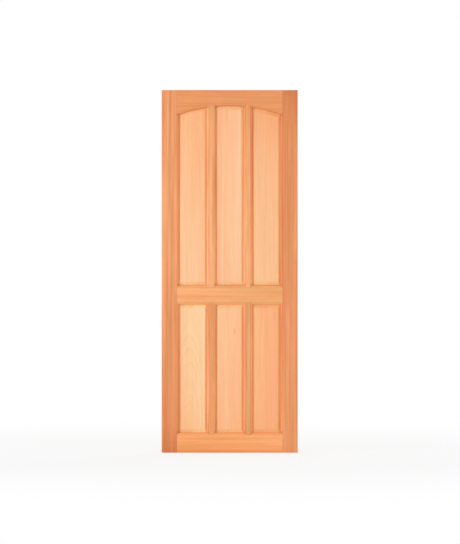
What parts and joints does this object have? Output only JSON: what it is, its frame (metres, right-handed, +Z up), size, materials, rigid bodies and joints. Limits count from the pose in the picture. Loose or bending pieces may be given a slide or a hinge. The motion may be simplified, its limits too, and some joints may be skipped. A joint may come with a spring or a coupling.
{
  "type": "panelled exterior door leaf",
  "caption": "Framed timber door leaf with raised panels in moulded openings under an arched top rail, a lock rail below mid height, and rails tenoned through the stiles and wedged.",
  "frame": {"origin": "on the hinge edge of the leaf, at its foot and at mid thickness", "axes": "+X across the leaf from the hinge edge to the latch edge, +Y through its thickness from the pictured face to the other, +Z up"},
  "size_m": [0.75, 0.045, 2],
  "materials": {
    "stile_timber": "sanded softwood, clear matt finish, upright grain",
    "rail_timber": "sanded softwood, clear matt finish, level grain",
    "muntin_timber": "sanded softwood, clear matt finish, upright grain",
    "panel_timber": "paler sanded softwood, clear matt finish, upright grain",
    "wedge_timber": "sawn softwood, end grain to the leaf's edge"
  },
  "bodies": {
    "root": {"left_stile": "stile_timber", "right_stile": "stile_timber", "bottom_rail": "rail_timber", "lock_rail": "rail_timber", "top_rail": "rail_timber", "lower_left_muntin": "muntin_timber", "lower_right_muntin": "muntin_timber", "upper_left_muntin": "muntin_timber", "upper_right_muntin": "muntin_timber", "lower_left_panel": "panel_timber", "lower_middle_panel": "panel_timber", "lower_right_panel": "panel_timber", "upper_left_panel": "panel_timber", "upper_middle_panel": "panel_timber", "upper_right_panel": "panel_timber", "bottom_rail_left_upper_wedge": "wedge_timber", "bottom_rail_left_lower_wedge": "wedge_timber", "bottom_rail_right_upper_wedge": "wedge_timber", "bottom_rail_right_lower_wedge": "wedge_timber", "lock_rail_left_upper_wedge": "wedge_timber", "lock_rail_left_lower_wedge": "wedge_timber", "lock_rail_right_upper_wedge": "wedge_timber", "lock_rail_right_lower_wedge": "wedge_timber", "top_rail_left_upper_wedge": "wedge_timber", "top_rail_left_lower_wedge": "wedge_timber", "top_rail_right_upper_wedge": "wedge_timber", "top_rail_right_lower_wedge": "wedge_timber"}
  },
  "joints": []
}
